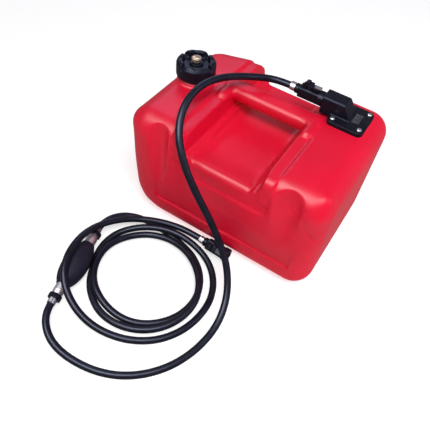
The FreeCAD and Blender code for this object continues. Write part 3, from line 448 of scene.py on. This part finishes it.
tank = softened("tank_shell", "tank_body", voxel=0.0025, passes=2, keep=0.5)
softened("filler_cap", "cap", voxel=0.0009, passes=5)
softened("pickup_housing", "pickup_hood", voxel=0.0010, passes=4)
tank_coupler = softened("tank_coupler_body", "tank_coupler", voxel=0.0007, passes=3)
engine_coupler = softened("engine_coupler_body", "engine_coupler", voxel=0.0007, passes=3)
tank_lever = softened("tank_coupler_lever", "tank_lever", voxel=0.0005, passes=8,
                      reshape=thumb_tab("tank_lever_press", "coupler_slide"))
engine_lever = softened("engine_coupler_lever", "engine_lever", voxel=0.0005, passes=8,
                        reshape=thumb_tab("engine_lever_press", "engine_plunger_slide"))

# %% [markdown]
# ## Uneven blow moulding
#
# A blown tank is never as true as its drawing: the wall swells between its ribs and draws in where
# it cools last. Each swelling below is a centre, a reach and a push in millimetres, and every vertex
# within reach moves by a share of the push that fades smoothly to nothing at the edge. The front
# corner on the pickup's side has a fold, pressed in along a path. In three boxes the wall is smoothed
# further, so that a sharp crease becomes a wide curve.

# %% Swellings, fold and eased creases
SWELLINGS = [
    ((190, -121, 248), 27, (-0.5, -1.0, 6.0)),
    ((190, -152, 214), 30, (0, -3.5, 0)),
    ((158, -152, 160), 46, (0, 3.5, 0)),
    ((-182, -122, 222), 26, (-1.6, -1.6, 2.0)),
    ((-200, -100, 130), 90, (-2.5, -0.5, 0)),
    ((-192, -126, 4), 66, (8.0, 8.0, 9.0)),
    ((60, -150, 70), 60, (0, 1.8, 0)),
    ((120, -40, 250), 60, (0, 0, -1.2)),
    ((-120, -90, 250), 50, (0, 0, -1.0)),
    ((-190, 130, 250), 120, (0, -8, -12)),
]
FOLD_REACH, FOLD_PUSH, FOLD_ROOM = 7, (-0.6, 2.4, 0), 80
FOLD_PATH = [(157, -147, 226), (160, -149, 209), (165, -147, 191), (173, -145, 176), (183, -141, 165),
             (194, -130, 157)]
EASED_BOXES = [((-72, -125, 165), (72, -72, 215), 40), ((108, -168, 95), (164, -126, 205), 50),
               ((56, -8, 236), (94, 26, 264), 14)]


def pushed(piece, centre, reach, push):
    """Move what lies within reach of a centre, most in the middle."""
    centre, push = Vector(centre) * MM, Vector(push) * MM
    for vertex in piece.data.vertices:
        nearness = 1 - (vertex.co - centre).length / (reach * MM)
        if nearness > 0:
            vertex.co += push * nearness * nearness * (3 - 2 * nearness)


def folded(piece, path, reach, push):
    """Press a fold of even depth along a path of straight strokes and count what moved."""
    stops, push = [Vector(stop) * MM for stop in path], Vector(push) * MM
    moved = 0
    for vertex in piece.data.vertices:
        if (vertex.co - stops[len(stops) // 2]).length > FOLD_ROOM * MM:
            continue
        gaps = []
        for start, end in zip(stops, stops[1:]):
            share = intersect_point_line(vertex.co, start, end)[1]
            nearest = start.lerp(end, min(max(share, 0), 1))
            gaps.append((vertex.co - nearest).length)
        nearness = 1 - min(gaps) / (reach * MM)
        if nearness > 0:
            vertex.co += push * nearness
            moved += 1
    return moved


def eased(piece, low, high, passes):
    """Smooth what lies in a box and count it."""
    low, high = Vector(low) * MM, Vector(high) * MM
    shape = bmesh.new()
    shape.from_mesh(piece.data)
    inside = [vertex for vertex in shape.verts
              if all(least < at < most for least, at, most in zip(low, vertex.co, high))]
    for _ in range(passes):
        bmesh.ops.smooth_vert(shape, verts=inside, factor=SMOOTH_STEP,
                              use_axis_x=True, use_axis_y=True, use_axis_z=True)
    shape.to_mesh(piece.data)
    shape.free()
    return len(inside)


for low, high, passes in EASED_BOXES:
    print("eased vertices:", eased(tank, low, high, passes))
for centre, reach, push in SWELLINGS:
    pushed(tank, centre, reach, push)
print("swellings:", len(SWELLINGS), "folded vertices:", folded(tank, FOLD_PATH, FOLD_REACH, FOLD_PUSH))

# %% [markdown]
# ## Turned pieces
#
# Screws, knobs and threads are round, so they start as half a section: a few points joined by edges
# in the XZ plane. The spin operator sweeps the section round Z and leaves a ring of quads per edge.

# %% A lathe
SEAM_WITHIN = 1e-6


def lathe(shape, section_mm, steps, rise=0.0, turns=1.0):
    """Spin a section of (radius, height) points round Z; a rise makes a screw thread of it."""
    points = [shape.verts.new((radius * MM, 0, height * MM)) for radius, height in section_mm]
    edges = [shape.edges.new(pair) for pair in zip(points, points[1:])]
    bmesh.ops.spin(shape, geom=[*points, *edges], cent=(0, 0, 0), axis=(0, 0, 1),
                   dvec=(0, 0, rise * MM * turns / steps), angle=2 * math.pi * turns, steps=steps,
                   use_merge=rise == 0)
    bmesh.ops.remove_doubles(shape, verts=shape.verts, dist=SEAM_WITHIN)


def finished_piece(shape, name, place=(0, 0, 0)):
    """Close a bmesh into an object whose place is in its mesh."""
    bmesh.ops.translate(shape, vec=place, verts=shape.verts)
    bmesh.ops.recalc_face_normals(shape, faces=shape.faces)
    mesh = bpy.data.meshes.new(name)
    shape.to_mesh(mesh)
    shape.free()
    piece = bpy.data.objects.new(name, mesh)
    scene.collection.objects.link(piece)
    print(name, "faces:", len(mesh.polygons))
    return piece


def top_centre(node):
    """The middle of a node's top, where a turned piece stands."""
    low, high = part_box(node)
    return Vector(((low[0] + high[0]) / 2, (low[1] + high[1]) / 2, high[2]))


print("lathe ready")

# %% [markdown]
# The vent screw is a brass knob with a slot for a coin. Its knurl is made by insetting each side face
# a little and lifting it, and the slot by cutting the top along two lines and pressing the strip
# between them down.

# %% Vent screw
VENT_RADIUS, VENT_EDGE, VENT_HEAD, VENT_SHANK, VENT_LENGTH = 8.6, 0.8, 7.5, 4.0, 22.5
VENT_RIBS, RIB_MARGIN, RIB_HEIGHT = 40, 0.15, 0.3
SLOT_HALF, SLOT_DEPTH, SLOT_REACH = 0.9, 1.4, 7.0
TOP_LAYER, UPRIGHT, RIM_SHARE, CUT_WITHIN = -0.05, 0.1, 0.95, 1e-7


def top_faces(shape):
    """The faces at the very top of a turned piece."""
    return [face for face in shape.faces if face.calc_center_median().z > TOP_LAYER * MM]


def points_of(geometry):
    """The points among what an operator made."""
    return [part for part in geometry if isinstance(part, bmesh.types.BMVert)]


vent = bmesh.new()
lathe(vent, [(0, 0), (SLOT_REACH, 0), (VENT_RADIUS - VENT_EDGE, -0.1), (VENT_RADIUS, -VENT_EDGE),
             (VENT_RADIUS, VENT_EDGE - VENT_HEAD), (VENT_RADIUS - VENT_EDGE, -VENT_HEAD),
             (VENT_SHANK, -VENT_HEAD), (VENT_SHANK, -VENT_LENGTH), (0, -VENT_LENGTH)], VENT_RIBS)
for side in (-1, 1):
    top = top_faces(vent)
    around = {part for face in top for part in (*face.verts, *face.edges)}
    bmesh.ops.bisect_plane(vent, geom=[*top, *around], dist=CUT_WITHIN,
                           plane_co=(0, side * SLOT_HALF * MM, 0), plane_no=(0, 1, 0))
strip = [face for face in top_faces(vent) if abs(face.calc_center_median().y) < SLOT_HALF * MM]
pressed = bmesh.ops.extrude_face_region(vent, geom=strip)["geom"]
bmesh.ops.translate(vent, vec=(0, 0, -SLOT_DEPTH * MM), verts=points_of(pressed))
ribs = [face for face in vent.faces if abs(face.normal.z) < UPRIGHT
        and Vector(face.calc_center_median().xy).length > RIM_SHARE * VENT_RADIUS * MM]
bmesh.ops.inset_individual(vent, faces=ribs, thickness=RIB_MARGIN * MM, depth=RIB_HEIGHT * MM)
vent_knob = finished_piece(vent, "vent_knob", top_centre("vent_screw"))
stand_for(vent_knob, "vent_screw")

# %% [markdown]
# The flange is held by four plated screws. A head starts as a square grid: its middle cross is
# pressed down as the driver's recess, and its rim is drawn out ring by ring into a round dome.

# %% Flange screws
GRID_CELLS, GRID_SIZE = 6, 2.4
CROSS_REACH, CROSS_ARM, CROSS_DEPTH, CROSS_TAPER = 1.7, 0.8, 1.7, 0.6
HEAD_RADIUS, HEAD_FOOT, SHANK_RADIUS, SHANK_END = 4.6, -2.8, 2.4, -18.8
HEAD_RINGS = [(3.5, -0.15), (4.3, -1.0), (HEAD_RADIUS, -1.9), (HEAD_RADIUS, HEAD_FOOT),
              (SHANK_RADIUS, HEAD_FOOT), (SHANK_RADIUS, SHANK_END)]
SCREW_TURNS = (12, 58, 31, 77)


def screw():
    """One flange screw, with the top of its head at the origin."""
    head = bmesh.new()
    bmesh.ops.create_grid(head, x_segments=GRID_CELLS, y_segments=GRID_CELLS, size=GRID_SIZE * MM)
    rim = [edge for edge in head.edges if edge.is_boundary]
    cross = [face for face in head.faces
             if min(map(abs, face.calc_center_median().xy)) < CROSS_ARM * MM
             and max(map(abs, face.calc_center_median().xy)) < CROSS_REACH * MM]
    sunk = points_of(bmesh.ops.extrude_face_region(head, geom=cross)["geom"])
    bmesh.ops.translate(head, vec=(0, 0, -CROSS_DEPTH * MM), verts=sunk)
    bmesh.ops.scale(head, vec=(CROSS_TAPER, CROSS_TAPER, 1), verts=sunk)
    for radius, height in HEAD_RINGS:
        drawn = bmesh.ops.extrude_edge_only(head, edges=rim)["geom"]
        rim = [part for part in drawn if isinstance(part, bmesh.types.BMEdge)]
        for point in points_of(drawn):
            point.co = Vector((*(point.co.xy.normalized() * radius * MM), height * MM))
    bmesh.ops.holes_fill(head, edges=rim)
    return head


def screw_set():
    """A screw at each corner of the flange, every one stopped at a turn of its own."""
    low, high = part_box("flange_screws")
    inset = HEAD_RADIUS * MM
    pattern = bpy.data.meshes.new("screw_pattern")
    one = screw()
    one.to_mesh(pattern)
    one.free()
    screws = bmesh.new()
    for number, turn in enumerate(SCREW_TURNS):
        across = (low[0] + inset, high[0] - inset)[number % 2]
        along = (low[1] + inset, high[1] - inset)[number // 2]
        first = len(screws.verts)
        screws.from_mesh(pattern)
        screws.verts.ensure_lookup_table()
        bmesh.ops.transform(screws, verts=screws.verts[first:],
                            matrix=Matrix.Translation((across, along, high[2]))
                            @ Matrix.Rotation(math.radians(turn), 4, "Z"))
    return finished_piece(screws, "flange_screw_set")


stand_for(screw_set(), "flange_screws")

# %% [markdown]
# The filler neck's thread shows when the cap is off. A small tooth of a section, spun with a rise of
# one pitch a turn, runs round the neck as the real thread does.

# %% Neck thread
NECK_RADIUS, ROOT_DEPTH, TOOTH_HEIGHT = 29.0, 0.4, 0.9
ROOT_HALF, CREST_HALF = 1.4, 0.4
THREAD_PITCH, THREAD_TURNS, THREAD_STEPS, THREAD_TOP = 6.0, 1.4, 84, 3.0
root, crest = NECK_RADIUS - ROOT_DEPTH, NECK_RADIUS + TOOTH_HEIGHT
thread = bmesh.new()
lathe(thread, [(root, ROOT_HALF), (crest, CREST_HALF), (crest, -CREST_HALF), (root, -ROOT_HALF),
               (root, ROOT_HALF)], THREAD_STEPS, -THREAD_PITCH, THREAD_TURNS)
bmesh.ops.holes_fill(thread, edges=[edge for edge in thread.edges if edge.is_boundary])
neck_low, neck_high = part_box("cap_gasket")
neck_thread = finished_piece(thread, "neck_thread", (
    (neck_low[0] + neck_high[0]) / 2, (neck_low[1] + neck_high[1]) / 2, neck_low[2] - THREAD_TOP * MM))
dress(neck_thread, "tank_plastic")
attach(neck_thread, "tank")

# %% [markdown]
# The gauge's dial lies under the smoked lens. Five printed bars mark its quarters, long and short by
# turns.

# %% Gauge marks
dial_low, dial_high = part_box("gauge_window")
MARK_STEPS, MARK_LONG, MARK_SHORT = 5, 4.5, 2.6
MARK_THICK, MARK_RISE, MARK_INSET = 0.5, 0.12, 1.6
FIRST_MARK, SPARE_STEPS = 0.75, 0.5
marks = bmesh.new()
for step in range(MARK_STEPS):
    reach = MARK_SHORT if step % 2 else MARK_LONG
    along = (dial_low[1] + (dial_high[1] - dial_low[1])
             * (step + FIRST_MARK) / (MARK_STEPS + SPARE_STEPS))
    across = dial_low[0] + (MARK_INSET + reach / 2) * MM
    bmesh.ops.create_cube(marks, size=MM, matrix=Matrix.Translation((across, along, dial_high[2]))
                          @ Matrix.Diagonal((reach, MARK_THICK, MARK_RISE * 2, 1)))
gauge_marks = finished_piece(marks, "gauge_marks")
gauge_marks.data.materials.append(print_ink.material)
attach(gauge_marks, "tank")

# %% [markdown]
# ## Hoses as cords
#
# The curves made first now take their finish and ride with the fuel line, in the place of the drawn hoses.

# %% Hoses in place
for piece, node in ((tank_hose, "hose_to_bulb"), (engine_hose, "hose_to_engine")):
    stand_for(piece, node)

# %% [markdown]
# ## Smooth shading
#
# The nodes that stay keep their own mesh. Smooth shading by angle hides the facets of their round
# faces and keeps their edges.

# %% Shading of the nodes
for piece in (*nodes.values(), vent_knob, neck_thread):
    if not piece.hide_render:
        smooth_shaded(piece)
print("shading set")

# %% [markdown]
# ## Floor and light
#
# A plain pale floor and large soft lights, as in a product studio. The key and the fill light the
# tank. The sheen and the back light are seen only in its gloss, where they give the top and the
# shoulders the broad soft sheen of satin plastic. The floor glows a little, so that it stays pale,
# and leaves no mirror image in the pieces.

# %% Floor and light
FLOOR_SIZE, FLOOR_TONE, FLOOR_GLOW, WORLD_GLOW = 6.0, 0.60, 0.62, 0.27
WHITE, COOL, COOLER = (1, 1, 1), (0.74, 0.78, 1.0), (0.60, 0.66, 1.0)
floor_shape = bmesh.new()
bmesh.ops.create_grid(floor_shape, x_segments=1, y_segments=1, size=FLOOR_SIZE / 2)
floor = bpy.data.objects.new("floor", bpy.data.meshes.new("floor"))
floor_shape.to_mesh(floor.data)
floor_shape.free()
scene.collection.objects.link(floor)
floor_paint = Finish("floor_paint", Roughness=0.9, Specular_IOR_Level=0, Emission_Strength=FLOOR_GLOW)
floor_paint.set("Base Color", (FLOOR_TONE, FLOOR_TONE, FLOOR_TONE, 1))
floor_paint.set("Emission Color", (*WHITE, 1))
floor.data.materials.append(floor_paint.material)
floor.visible_glossy = False

world = bpy.data.worlds.new("studio")
world.use_nodes = True
world.node_tree.nodes["Background"].inputs["Color"].default_value = (*WHITE, 1)
world.node_tree.nodes["Background"].inputs["Strength"].default_value = WORLD_GLOW
scene.world = world


def soft_light(name, place, target, size, power, tint):
    """A broad light that stands at a place and faces a target."""
    data = bpy.data.lights.new(name, "AREA")
    data.shape = "RECTANGLE"
    data.size, data.size_y = size
    data.energy = power
    data.color = tint
    light = bpy.data.objects.new(name, data)
    light.location = place
    light.rotation_euler = (Vector(target) - Vector(place)).to_track_quat("-Z", "Y").to_euler()
    scene.collection.objects.link(light)
    return light


soft_light("key", (0.50, -0.80, 1.90), (0, -0.1, 0.15), (0.7, 0.6), 26.5, WHITE)
back = soft_light("back", (-1.25, 1.35, 1.5), (-0.15, 0, 0.25), (1.1, 0.9), 13, COOLER)
sheen = soft_light("sheen", (-0.32, -0.95, 1.52), (0, -0.1, 0.2), (1.15, 0.9), 60, WHITE)
soft_light("fill", (1.7, 0.3, 1.3), (0, -0.1, 0.1), (1.0, 1.0), 14, COOL)
for glint in (sheen, back):
    glint.visible_diffuse = False
print("floor and lights")
